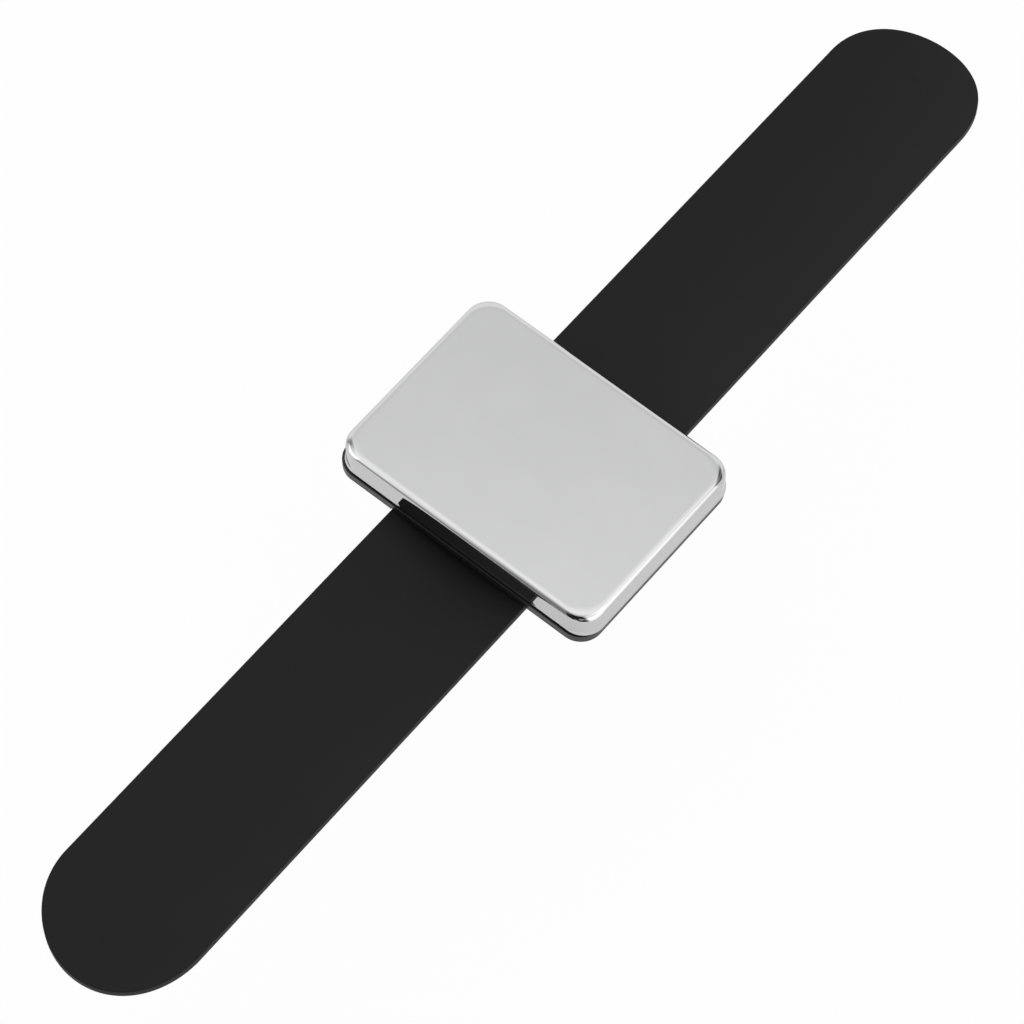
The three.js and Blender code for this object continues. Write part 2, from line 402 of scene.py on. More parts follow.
STEEL = Metal(
    name="polished steel",
    slot=Slot.POLISHED_STEEL,
    dark=(0.60, 0.60, 0.605),
    light=(0.64, 0.64, 0.645),
    roughness=0.035,
    unevenness=0.035,
    marks=(400.0, 9000.0, 400.0),
    mark_depth=0.0001 * MM,
    patch=9 * MM,
)
SPRING = Metal(
    name="rolled spring steel",
    slot=Slot.SPRING_STEEL,
    dark=(0.30, 0.31, 0.33),
    light=(0.38, 0.39, 0.41),
    roughness=0.22,
    unevenness=0.18,
    marks=(150.0, 8000.0, 8000.0),
    mark_depth=0.002 * MM,
    patch=4 * MM,
)
ZINC = Metal(
    name="zinc plated screw",
    slot=Slot.SCREW_STEEL,
    dark=(0.44, 0.45, 0.47),
    light=(0.55, 0.56, 0.57),
    roughness=0.22,
    unevenness=0.16,
    marks=(3000.0, 3000.0, 3000.0),
    mark_depth=0.004 * MM,
    patch=1.2 * MM,
)
PLASTIC = Moulded(
    name="satin black plastic",
    slot=Slot.BLACK_PLASTIC,
    dark=(0.011, 0.011, 0.011),
    light=(0.016, 0.016, 0.016),
    roughness=0.26,
    unevenness=0.16,
    grain=0.22 * MM,
    grain_depth=0.004 * MM,
    cloud=5 * MM,
    gloss=0.42,
)
SILICONE = Moulded(
    name="matt black silicone",
    slot=Slot.SILICONE,
    dark=(0.007, 0.007, 0.007),
    light=(0.0098, 0.0098, 0.0098),
    roughness=0.45,
    unevenness=0.2,
    grain=0.2 * MM,
    grain_depth=0.006 * MM,
    cloud=14 * MM,
    gloss=0.165,
)
FERRITE = Moulded(
    name="ground ferrite",
    slot=Slot.FERRITE,
    dark=(0.035, 0.035, 0.038),
    light=(0.075, 0.075, 0.08),
    roughness=0.6,
    unevenness=0.3,
    grain=0.5 * MM,
    grain_depth=0.02 * MM,
    cloud=3 * MM,
    gloss=0.4,
)


@dataclass(frozen=True)
class ProfilePoint:
    """One ring of a lofted piece: how far in from its plan, how high, and which way it faces."""

    inset: float
    height: float
    out: float
    up: float


@dataclass(frozen=True)
class Corner:
    """A rounded corner of a profile, as an arc of an ellipse round a centre."""

    inset: float
    height: float
    across: float
    tall: float

    def points(self, start: float, end: float, steps: int = 8) -> list[ProfilePoint]:
        """The corner's points between two angles.

        Args:
            start: The first angle, 0 facing out and a quarter turn facing up.
            end: The last angle.
            steps: How many steps it takes.

        Returns:
            The points with their exact normals.
        """
        found = []
        for step in range(steps + 1):
            angle = start + (end - start) * step / steps
            out, up = math.cos(angle) / self.across, math.sin(angle) / self.tall
            length = math.hypot(out, up)
            inset = self.inset - self.across * math.cos(angle)
            height = self.height + self.tall * math.sin(angle)
            found.append(ProfilePoint(inset, height, out / length, up / length))
        return found


@dataclass(frozen=True)
class Plan:
    """A rectangle with round corners, seen from above. With full corners it is a circle.

    A ring that is drawn in loses that much of its corners' radius, times follow.
    """

    width: float
    length: float
    corner: float
    centre: tuple[float, float] = (0.0, 0.0)
    steps: int = 16
    follow: float = 1.0
    least_corner: float = 0.02 * MM

    @staticmethod
    def circle(radius: float, centre: tuple[float, float] = (0.0, 0.0), steps: int = 10) -> Plan:
        """A round plan."""
        return Plan(2 * radius, 2 * radius, radius, centre, steps)

    def ring(self, point: ProfilePoint) -> tuple[list[Vector], list[Vector]]:
        """One ring of the loft.

        Args:
            point: The profile's point that the ring goes through.

        Returns:
            The ring's places and its normals.
        """
        corner = max(self.corner - self.follow * point.inset, self.least_corner)
        x = self.width / 2 - point.inset - corner
        y = self.length / 2 - point.inset - corner
        places, normals = [], []
        for quarter, (sx, sy) in enumerate(((1, 1), (-1, 1), (-1, -1), (1, -1))):
            for step in range(self.steps + 1):
                turn = QUARTER * step / self.steps
                angle = QUARTER * quarter + turn
                out = Vector((math.cos(angle), math.sin(angle), 0))
                place = Vector((self.centre[0] + sx * x, self.centre[1] + sy * y, point.height))
                places.append(place + out * corner)
                lift = self.follow + (1 - self.follow) * (math.cos(turn) + math.sin(turn))
                normals.append((out * point.out + Vector((0, 0, point.up * lift))).normalized())
        return places, normals

    def loft(self, name: str, profile: Sequence[ProfilePoint]) -> bpy.types.Object:
        """A closed piece through a profile's rings, with its first and last ring filled.

        Args:
            name: The piece's name.
            profile: Its rings, from one filled end to the other, anticlockwise in out and up.

        Returns:
            The piece.
        """
        rings = [self.ring(point) for point in profile]
        places = [place for ring in rings for place in ring[0]]
        normals = [normal for ring in rings for normal in ring[1]]
        count = len(rings[0][0])
        faces = [tuple(reversed(range(count)))]
        for low in range(0, count * (len(rings) - 1), count):
            for k in range(count):
                after = (k + 1) % count
                faces.append((low + k, low + after, low + count + after, low + count + k))
        faces.append(tuple(range(count * (len(rings) - 1), count * len(rings))))
        piece = add_mesh(name, places, faces)
        piece.data.normals_split_custom_set_from_vertices(normals)
        return piece


def add_object(name: str, data: bpy.types.ID) -> bpy.types.Object:
    """An object in the scene for a mesh or a camera.

    Args:
        name: The object's name.
        data: What it shows.

    Returns:
        The object.
    """
    made = bpy.data.objects.new(name, data)
    bpy.context.scene.collection.objects.link(made)
    return made


def add_mesh(name: str, places: Sequence[Vector], faces: Sequence[Sequence[int]]) -> bpy.types.Object:
    """A smooth-shaded mesh object at the origin.

    Args:
        name: The object's name.
        places: Its vertices.
        faces: Its faces.

    Returns:
        The object, in the scene.
    """
    mesh = bpy.data.meshes.new(name)
    mesh.from_pydata(places, [], faces)
    mesh.validate()
    mesh.shade_smooth()
    return add_object(name, mesh)


def settle(piece: bpy.types.Object) -> bpy.types.Object:
    """Turn a piece's modifiers into plain mesh.

    Args:
        piece: The piece with its modifiers.

    Returns:
        The same piece.
    """
    graph = bpy.context.evaluated_depsgraph_get()
    mesh = bpy.data.meshes.new_from_object(
        piece.evaluated_get(graph), preserve_all_data_layers=True, depsgraph=graph
    )
    piece.modifiers.clear()
    piece.data = mesh
    mesh.name = piece.name
    return piece


def carve(piece: bpy.types.Object, tool: bpy.types.Object, how: Carving) -> None:
    """Add a tool's solid to a piece or cut it away, and remove the tool.

    Args:
        piece: The piece that is changed.
        tool: The closed mesh that is used up.
        how: Whether it adds or cuts.
    """
    modifier = piece.modifiers.new("carve", "BOOLEAN")
    modifier.operation = how.value
    modifier.solver = "EXACT"
    modifier.object = tool
    settle(piece)
    bpy.data.objects.remove(tool)


def join(name: str, parts: Sequence[bpy.types.Object]) -> bpy.types.Object:
    """Separate solids as one object.

    Args:
        name: The object's name.
        parts: The solids, which are used up.

    Returns:
        The object.
    """
    body = bmesh.new()
    for part in parts:
        body.from_mesh(part.data)
        bpy.data.objects.remove(part)
    mesh = bpy.data.meshes.new(name)
    body.to_mesh(mesh)
    body.free()
    return add_object(name, mesh)


def tidy(piece: bpy.types.Object, sharp: float = math.radians(35)) -> bpy.types.Object:
    """Weld a piece, turn its faces outwards and keep only its real edges sharp.

    Args:
        piece: The piece.
        sharp: The angle from which an edge is sharp.

    Returns:
        The same piece.
    """
    body = bmesh.new()
    body.from_mesh(piece.data)
    bmesh.ops.remove_doubles(body, verts=body.verts, dist=WELD)
    bmesh.ops.dissolve_degenerate(body, edges=body.edges, dist=WELD)
    bmesh.ops.recalc_face_normals(body, faces=body.faces)
    body.to_mesh(piece.data)
    body.free()
    piece.data.shade_smooth()
    piece.data.set_sharp_from_angle(angle=sharp)
    return piece


def even(piece: bpy.types.Object) -> bpy.types.Object:
    """Keep a piece's flat faces evenly shaded beside its rounded edges.

    Args:
        piece: The piece, with its sharp edges marked.

    Returns:
        The same piece.
    """
    modifier = piece.modifiers.new("even", "WEIGHTED_NORMAL")
    modifier.keep_sharp = True
    return settle(piece)


def prism(name: str, outline: Sequence[tuple[float, float]], low: float, high: float) -> bpy.types.Object:
    """An outline in Y and Z drawn along X.

    Args:
        name: The object's name.
        outline: The outline's (y, z) points, in order.
        low: Where it starts along X.
        high: Where it ends.

    Returns:
        The closed object.
    """
    count = len(outline)
    places = [Vector((x, y, z)) for x in (low, high) for y, z in outline]
    faces = [tuple(range(count)), tuple(reversed(range(count, 2 * count)))]
    faces += [(k, (k + 1) % count, count + (k + 1) % count, count + k) for k in range(count)]
    return tidy(add_mesh(name, places, faces))


def block(name: str, low: Sequence[float], high: Sequence[float]) -> bpy.types.Object:
    """A plain box for adding or cutting."""
    outline = [(low[1], low[2]), (high[1], low[2]), (high[1], high[2]), (low[1], high[2])]
    return prism(name, outline, low[0], high[0])


def put_on_case(piece: bpy.types.Object, finish: Finish, *nodes: str) -> bpy.types.Object:
    """Dress a piece that moves with the case and stands for some of its nodes.

    Args:
        piece: The piece.
        finish: Its finish.
        nodes: The nodes that it stands for.

    Returns:
        The same piece.
    """
    finish.dress(piece)
    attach(piece, "case")
    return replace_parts(piece, *nodes)


class Tree:
    """A geometry node group with named inputs, grown into plain meshes."""

    def __init__(self, name: str, inputs: dict[str, str]) -> None:
        """Start the group.

        Args:
            name: The group's name.
            inputs: The kind of each named input.
        """
        self.group = bpy.data.node_groups.new(name, "GeometryNodeTree")
        self.sockets = {}
        for label, kind in inputs.items():
            socket = self.group.interface.new_socket(label, in_out="INPUT", socket_type=f"NodeSocket{kind}")
            self.sockets[label] = socket.identifier
        self.group.interface.new_socket("Geometry", in_out="OUTPUT", socket_type="NodeSocketGeometry")
        self.nodes = Nodes(self.group)
        entry = self.group.nodes.new("NodeGroupInput")
        self.values = {label: Value(self.nodes, entry.outputs[label]) for label in inputs}

    def close(self, geometry: Value) -> None:
        """End the group: real meshes with the group's material.

        Args:
            geometry: What the group has made.
        """
        real = self.nodes.node("GeometryNodeRealizeInstances", None, {"Geometry": geometry})
        dressed = self.nodes.node(
            "GeometryNodeSetMaterial", None, {"Geometry": real, "Material": self.values["Material"]}
        )
        self.nodes.node("NodeGroupOutput", None, {"Geometry": dressed})

    def grow(self, name: str, inputs: dict) -> bpy.types.Object:
        """Make one piece.

        Args:
            name: The piece's name.
            inputs: Its sizes by the inputs' names.

        Returns:
            The piece as a plain mesh.
        """
        piece = add_object(name, bpy.data.meshes.new(name))
        modifier = piece.modifiers.new("grow", "NODES")
        modifier.node_group = self.group
        for label, value in inputs.items():
            modifier[self.sockets[label]] = value
        return settle(piece)


@dataclass(frozen=True)
class Layer:
    """A layer of the bowed band: half its width, its depths below the top, and its round edge."""

    half: float
    upper: float
    lower: float
    edge: float

    def core(self) -> Layer:
        """The layer drawn in to the line at its middle."""
        middle = (self.upper + self.lower) / 2
        return Layer(self.half - self.edge, middle, middle, 0.0)

    def inset(self, depth: float) -> Layer:
        """The layer made smaller all round."""
        return Layer(self.half - depth, self.upper + depth, self.lower - depth, self.edge)

    def inputs(self, label: str) -> dict[str, float]:
        """The layer's sizes as a tree's inputs."""
        return {
            f"{label} Half": self.half,
            f"{label} Upper": self.upper,
            f"{label} Lower": self.lower,
            f"{label} Edge": self.edge,
        }


class StretchTree(Tree):
    """A stretch of a bowed layer round its core, with a seam at each end or a round end.

    TOP_SHARE and EDGE_SHARE are the shares of its columns on the top and on one edge. EDGE_POWER shapes the
    edge, from square at 0 to an ellipse at 1.
    """

    COLUMNS = 96
    TOP_SHARE = 0.375
    EDGE_SHARE = 0.125
    EDGE_POWER = 0.3
    LAYER_SIZES = ("Half", "Upper", "Lower", "Edge")

    def __init__(self, name: str, hollow: bool, rounded: bool) -> None:
        """Build the group.

        Args:
            name: The group's name.
            hollow: Whether the core is a pocket and not just the middle line.
            rounded: Whether the far end is round and closed.
        """
        sizes = ["Start", "Straight", "Round Share", "Side", "Bow Radius", "Bow Centre"]
        sizes += [f"{layer} {size}" for layer in ("Skin", "Core") for size in self.LAYER_SIZES]
        super().__init__(name, {**dict.fromkeys(sizes, "Float"), "Rows": "Int", "Material": "Material"})
        rows = self.values["Rows"]
        parts = [self.sheet(rows, lambda along, turn: self.place("Skin", along, turn))]
        if hollow:
            parts.append(self.sheet(rows, lambda along, turn: self.place("Core", along, turn)))
        for end in (0.0,) if rounded else (0.0, 1.0):
            parts.append(self.sheet(2, lambda along, turn, end=end: self.seam(end, along, turn)))
        whole = self.nodes.node("GeometryNodeJoinGeometry", None, {"Geometry": parts})
        welded = self.nodes.node("GeometryNodeMergeByDistance", None, {"Geometry": whole, "Distance": WELD})
        self.close(welded)

    def sheet(self, rows: Value | int, shape: Callable[[Value, Value], Value]) -> Value:
        """A grid bent into shape, with rows along the band and columns round it.

        Args:
            rows: How many rows of vertices it has.
            shape: A function of the shares along and round that gives the place.

        Returns:
            The bent mesh.
        """
        counts = {"Vertices X": rows, "Vertices Y": self.COLUMNS + 1}
        grid = self.nodes.node("GeometryNodeMeshGrid", None, counts)
        spread = Value(self.nodes, grid.socket.node.outputs["UV Map"])
        along = self.nodes.node("ShaderNodeSeparateXYZ", None, {0: spread}, "X")
        turn = self.nodes.node("ShaderNodeSeparateXYZ", None, {0: spread}, "Y")
        bent = {"Geometry": grid, "Position": shape(along, turn)}
        return self.nodes.node("GeometryNodeSetPosition", None, bent)

    def seam(self, end: float, along: Value, turn: Value) -> Value:
        """The flat face between skin and core at one end.

        Args:
            end: Which end, 0 or 1.
            along: The share of the way from skin to core.
            turn: The share of the way round.

        Returns:
            The point's place.
        """
        skin = self.place("Skin", end, turn)
        core = self.place("Core", end, turn)
        return self.nodes.mixed("VECTOR", along, skin, core)

    def place(self, layer: str, along: Value | float, turn: Value) -> Value:
        """A point of a layer's surface.

        Args:
            layer: Skin or Core.
            along: The share of the stretch's length, with the round end's sweep last.
            turn: The share of the way round: across the top, round one edge, back below and up.

        Returns:
            The point's place.
        """
        n, size = self.nodes, self.values
        half, upper, lower, edge = (size[f"{layer} {name}"] for name in self.LAYER_SIZES)
        side = self.TOP_SHARE + self.EDGE_SHARE
        back = side + self.TOP_SHARE
        across = n.ranged(turn, 0, self.TOP_SHARE, -1, 1) - n.ranged(turn, side, back, 0, 2)
        down = n.ranged(turn, self.TOP_SHARE, side, 0, math.pi)
        lean = n.ranged(turn, back, 1, 0, math.pi) - down + QUARTER
        rise = n.math("SINE", lean)
        bulge = n.math("POWER", n.math("MAXIMUM", n.math("COSINE", lean), 0), self.EDGE_POWER)
        level = n.math("SIGN", rise) * n.math("POWER", abs(rise), self.EDGE_POWER)
        reach = half - edge * (1 - bulge)
        depth = (upper + lower) * 0.5 - (lower - upper) * 0.5 * level
        straight_share = 1 - size["Round Share"]
        run = n.math("MINIMUM", n.math("DIVIDE", along, straight_share), 1)
        beyond = n.math("MAXIMUM", n.math("SUBTRACT", along, straight_share), 0)
        sweep = n.math("DIVIDE", beyond, size["Round Share"]) * QUARTER
        x = size["Start"] + (size["Straight"] - size["Start"]) * run + reach * n.math("SINE", sweep)
        bow = size["Bow Radius"]
        y = bow * n.math("SINE", across * reach * n.math("COSINE", sweep) / bow)
        fall = (bow + depth) * (bow + depth) - y * y
        z = size["Bow Centre"] - n.math("SQRT", fall)
        return n.node("ShaderNodeCombineXYZ", None, {"X": x * size["Side"], "Y": y, "Z": z})


class PlacesTree(Tree):
    """Copies of one piece on a rectangle of places."""

    def __init__(self) -> None:
        """Build the group."""
        kinds = {
            "Piece": "Object",
            "Centre": "Vector",
            "Width": "Float",
            "Length": "Float",
            "Rows": "Int",
            "Columns": "Int",
            "Material": "Material",
        }
        super().__init__("places", kinds)
        size = self.values
        grid = {
            "Size X": size["Width"],
            "Size Y": size["Length"],
            "Vertices X": size["Rows"],
            "Vertices Y": size["Columns"],
        }
        points = self.nodes.node("GeometryNodeMeshGrid", None, grid)
        shift = {"Geometry": points, "Offset": size["Centre"]}
        moved = self.nodes.node("GeometryNodeSetPosition", None, shift)
        piece = self.nodes.node("GeometryNodeObjectInfo", None, {"Object": size["Piece"]}, "Geometry")
        copies = {"Points": moved, "Instance": piece}
        self.close(self.nodes.node("GeometryNodeInstanceOnPoints", None, copies))

    def spread(
        self,
        name: str,
        model: bpy.types.Object,
        finish: Finish,
        counts: tuple[int, int],
        size: tuple[float, float],
        centre: tuple[float, float] = (0.0, 0.0),
    ) -> bpy.types.Object:
        """Copies of a model as one piece.

        Args:
            name: The piece's name.
            model: What is copied, which is used up.
            finish: The copies' finish.
            counts: How many copies lie along X and along Y.
            size: The width and length of the rectangle that their origins span.
            centre: Its middle.

        Returns:
            The piece.
        """
        inputs = {
            "Piece": model,
            "Centre": (*centre, 0.0),
            "Width": size[0],
            "Length": size[1],
            "Rows": counts[0],
            "Columns": counts[1],
            "Material": finish.material(),
        }
        piece = self.grow(name, inputs)
        bpy.data.objects.remove(model)
        return piece


def smooth_share(turn: float) -> float:
    """How far along a smooth bend a share of its turn is reached."""
    return 0.5 - math.sin(math.asin(1 - 2 * turn) / 3)


@dataclass(frozen=True)
class Hinge:
    """One of the band's hinges: its bodies, its place and its whole turn in degrees."""

    parent: str
    child: str
    x: float
    height: float
    turn: float


@dataclass(frozen=True)
class Band:
    """The silicone band and the spring strip in it, cut half way between hinges.

    clamp_turn and seam_turn are the shares of a hinge's turn that lie past the clamp and past a seam.
    """

    hinges: dict[Side, list[Hinge]]
    tip: float
    bottom: float
    hold: float
    width: float = 30.2 * MM
    thickness: float = 1.8 * MM
    bow_radius: float = 40.7 * MM
    round_edge: float = 0.45 * MM
    pocket_margin: float = 2.9 * MM
    spring_margin: float = 3.1 * MM
    spring_thickness: float = 0.4 * MM
    spring_edge: float = 0.1 * MM
    clearance: float = 0.2 * MM
    row: float = 0.7 * MM
    tip_rows: int = 36
    mark_radius: float = 0.85 * MM
    mark_rise: float = 0.05 * MM
    mark_from_tip: float = 8.4 * MM
    clamp_turn: float = 0.156
    seam_turn: float = 0.238
    tongue_root: float = 0.3 * MM
    tongue_reach: float = 1.2 * MM
    tongue_inset: float = 0.02 * MM

    @classmethod
    def from_frame(cls, frame: dict) -> Band:
        """The band's places from the frame.


        Returns:
            The band.
        """
        hinges = {side: [] for side in Side}
        for joint in frame["joints"]:
            side = Side[joint["name"].split("_")[0].upper()]
            x, _, height = joint["pos_m"]
            turn = max(abs(limit) for limit in joint["range_deg"])
            hinges[side].append(Hinge(joint["parent"], joint["child"], abs(x), height, turn))
        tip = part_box("right_band_10")[1].x
        return cls(hinges, tip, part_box("band_centre")[0].z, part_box("strap_bridge")[1].x)

    @property
    def top(self) -> float:
        """Height of the band's upper face along its middle."""
        return self.bottom + self.thickness

    @property
    def skin(self) -> Layer:
        """The silicone's outside."""
        return Layer(self.width / 2, 0.0, self.thickness, self.round_edge)

    @property
    def spring(self) -> Layer:
        """The spring strip."""
        upper = (self.thickness - self.spring_thickness) / 2
        half = self.width / 2 - self.spring_margin
        return Layer(half, upper, upper + self.spring_thickness, self.spring_edge)

    @property
    def pocket(self) -> Layer:
        """The room in the silicone for the strip."""
        strip = self.spring
        half = self.width / 2 - self.pocket_margin
        return Layer(half, strip.upper - self.clearance, strip.lower + self.clearance, self.spring_edge)

    def build(self) -> list[bpy.types.Object]:
        """Make both layers, the tongues in the seams and the moulding marks at the tips.

        Returns:
            All pieces of the band.
        """
        made = []
        layers = (
            ("band", "sleeve", SILICONE, self.skin, self.pocket, True),
            ("spring", "strip", SPRING, self.spring, self.spring.core(), False),
        )
        for node, word, finish, skin, core, hollow in layers:
            seamed = StretchTree(f"{word} stretch", hollow, False)
            ended = StretchTree(f"{word} end", hollow, True)
            sizes = {
                **skin.inputs("Skin"),
                **core.inputs("Core"),
                "Bow Radius": self.bow_radius,
                "Bow Centre": self.top + self.bow_radius,
                "Material": finish.material(),
            }
            made.append(self.middle(node, word, finish, seamed, sizes))
            for side in Side:
                made += self.arm(side, node, word, finish, (seamed, ended), sizes)
                if hollow:
                    made += self.tongues(side, finish, seamed, sizes)
        return made + [self.mark(side) for side in Side]

    def middle(
        self, node: str, word: str, finish: Finish, tree: StretchTree, sizes: dict
    ) -> bpy.types.Object:
        """The stretch that the case holds.

        Args:
            node: The layer's word in the frame's names.
            word: The layer's word in the piece's name.
            finish: Its finish.
            tree: The group that makes it.
            sizes: The layer's sizes.

        Returns:
            The piece.
        """
        span = {"Start": -self.hold, "Straight": self.hold, "Side": 1.0, "Rows": self.rows(2 * self.hold)}
        piece = tidy(tree.grow(f"{word}_centre", {**sizes, **span}))
        return put_on_case(piece, finish, f"{node}_centre")

    def rows(self, length: float) -> int:
        """How many rows of vertices a length gets."""
        return math.ceil(length / self.row) + 1

    def arm(
        self,
        side: Side,
        node: str,
        word: str,
        finish: Finish,
        trees: tuple[StretchTree, StretchTree],
        sizes: dict,
    ) -> list[bpy.types.Object]:
        """One arm's stretches, one across each hinge.

        Args:
            side: Which arm.
            node: The layer's word in the frame's names.
            word: The layer's word in the piece's name.
            finish: Its finish.
            trees: The groups for a seamed stretch and for the end.
            sizes: The layer's sizes.

        Returns:
            The arm's pieces from the case to the tip.
        """
        seams = self.seams(side)
        made = []
        for k in range(len(seams) - 1):
            last = k + 2 == len(seams)
            straight = self.tip - self.width / 2 if last else seams[k + 1]
            rows = self.rows(straight - seams[k])
            span = {"Start": seams[k], "Straight": straight, "Side": float(side.value), "Rows": rows}
            if last:
                span["Rows"] = rows + self.tip_rows
                span["Round Share"] = self.tip_rows / (rows + self.tip_rows - 1)
            piece = tidy(trees[last].grow(f"{side.word}_{word}_{k + 1}", {**sizes, **span}))
            finish.dress(piece)
            self.bend(piece, side, k)
            made.append(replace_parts(piece, f"{side.word}_{node}_{k + 1}"))
        return made

    def seams(self, side: Side) -> list[float]:
        """Where an arm's stretches start, half way between hinges, and where the last bend ends."""
        places = [*(hinge.x for hinge in self.hinges[side]), self.tip]
        return [self.hold, *((near + far) / 2 for near, far in zip(places, places[1:]))]

    def bend(self, piece: bpy.types.Object, side: Side, k: int) -> bpy.types.Object:
        """Bake a piece's transform; its bend across a hinge is worked out but not applied.

        The bend's span reaches past its seams and would meet the next one part way through its turn, where
        both have turned away from the link by the same angle, so that a curled arm would be an even arc.

        Args:
            piece: The piece.
            side: Which arm it is on.
            k: The hinge's number, counted from 0 at the case.

        Returns:
            The piece.
        """
        hinges = self.hinges[side]
        hinge = hinges[k]
        near, far = self.seams(side)[k : k + 2]
        nearer, farther = hinges[max(k - 1, 0)], hinges[min(k + 1, len(hinges) - 1)]
        near_turn = self.seam_turn * math.sqrt(nearer.turn / hinge.turn) if k else self.clamp_turn
        far_turn = self.seam_turn * math.sqrt(farther.turn / hinge.turn)
        before, after = smooth_share(near_turn), smooth_share(far_turn)
        length = (far - near) / (1 - before - after)
        start = near - before * length
        ends = [(side.value * x, 0.0, hinge.height) for x in (start, start + length)]
        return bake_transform(piece)

    def tongues(self, side: Side, finish: Finish, tree: StretchTree, sizes: dict) -> list[bpy.types.Object]:
        """Short sleeves, inset a little within the skin, that span an arm's seams.

        Args:
            side: Which arm.
            finish: The sleeve's finish.
            tree: The group for a seamed stretch.
            sizes: The sleeve's sizes.

        Returns:
            One tongue for each seam.
        """
        skin = self.skin.inset(self.tongue_inset).inputs("Skin")
        core = self.pocket.inset(-self.tongue_inset).inputs("Core")
        rows = self.rows(self.tongue_root + self.tongue_reach)
        made = []
        for k, seam in enumerate(self.seams(side)[1:-1]):
            span = {"Start": seam - self.tongue_root, "Straight": seam + self.tongue_reach}
            span |= {"Side": float(side.value), "Rows": rows}
            piece = tidy(tree.grow(f"{side.word}_seam_tongue_{k + 1}", {**sizes, **skin, **core, **span}))
            finish.dress(piece)
            made.append(self.bend(piece, side, k))
        return made

    def mark(self, side: Side) -> bpy.types.Object:
        """The faint round mark that the mould leaves near a tip.

        Args:
            side: Which arm's tip.

        Returns:
            The mark.
        """
        centre = (side.value * (self.tip - self.mark_from_tip), 0.0)
        rim = Corner(2 * self.mark_rise, self.top, 2 * self.mark_rise, self.mark_rise)
        profile = [ProfilePoint(0.0, self.top - self.mark_rise, 1.0, 0.0), *rim.points(0, QUARTER)]
        profile.append(ProfilePoint(self.mark_radius / 2, self.top, 0.0, 1.0))
        piece = Plan.circle(self.mark_radius, centre).loft(f"{side.word}_mould_mark", profile)
        SILICONE.dress(piece)
        return self.bend(piece, side, len(self.hinges[side]) - 1)


@dataclass(frozen=True)
class Cover:
    """The drawn and polished steel cap."""

    low: Vector
    high: Vector
    sheet: float = 0.5 * MM
    corner: float = 4.3 * MM
    follow: float = -0.5
    drop: float = 0.25 * MM
    flare: float = 0.15 * MM
    flare_height: float = 0.85 * MM
    trim: float = 0.1 * MM
    fillet: float = 1.15 * MM
    crown: float = 0.5 * MM
    crown_angle: float = math.radians(5)
    corner_steps: int = 24
    fillet_steps: int = 16

    @property
    def plan(self) -> Plan:
        """The cap seen from above."""
        middle = (self.low + self.high) / 2
        size = self.high - self.low
        return Plan(size.x, size.y, self.corner, (middle.x, middle.y), self.corner_steps, self.follow)

    def profile(self) -> list[ProfilePoint]:
        """The sheet's section.

        Returns:
            Its points, from the inner ceiling round the trimmed edge to the top.
        """
        bottom = self.low.z - self.drop
        inside = self.shoulder(self.sheet)
        points = [ProfilePoint(p.inset, p.height, -p.out, -p.up) for p in reversed(inside)]
        points.append(ProfilePoint(self.flare + self.sheet, bottom + self.flare_height, -1.0, 0.0))
        trimmed = Corner(self.sheet / 2, bottom + self.trim, self.sheet / 2, self.trim)
        points += trimmed.points(-2 * QUARTER, 0)
        points += self.flared(bottom + self.trim, bottom + self.flare_height)
        return points + self.shoulder(0.0)

    def shoulder(self, depth: float, steps: int = 8) -> list[ProfilePoint]:
        """The fillet and the slight crown beside it, up to the flat top.

        Args:
            depth: How deep in the sheet.
            steps: How many steps the crown takes.

        Returns:
            The points from the wall to the top.
        """
        lean = QUARTER - self.crown_angle
        slope = math.tan(self.crown_angle)
        rise = self.crown * slope / 2
        centre = self.high.z - rise - self.fillet * math.sin(lean)
        radius = self.fillet - depth
        corner = Corner(self.flare + self.fillet, centre, radius, radius)
        points = corner.points(0, lean, self.fillet_steps)
        last = points[-1]
        for step in range(1, steps + 1):
            share = step / steps
            up = math.atan(slope * (1 - share))
            height = last.height + self.crown * slope * (share - share**2 / 2)
            points.append(ProfilePoint(last.inset + self.crown * share, height, math.sin(up), math.cos(up)))
        return points

    def flared(self, low: float, high: float, steps: int = 6) -> list[ProfilePoint]:
        """The wall's lowest stretch, which turns out a little.

        Args:
            low: The flare's lowest height.
            high: Where the wall is straight.
            steps: How many steps it takes.

        Returns:
            Its points.
        """
        found = []
        for step in range(1, steps + 1):
            share = step / steps
            inset = self.flare * (1 - (1 - share) ** 2)
            slope = 2 * self.flare * (1 - share) / (high - low)
            length = math.hypot(1, slope)
            found.append(ProfilePoint(inset, low + (high - low) * share, 1 / length, slope / length))
        return found

    def build(self) -> bpy.types.Object:
        """The cap."""
        return put_on_case(self.plan.loft("polished_cover", self.profile()), STEEL, "steel_cover")


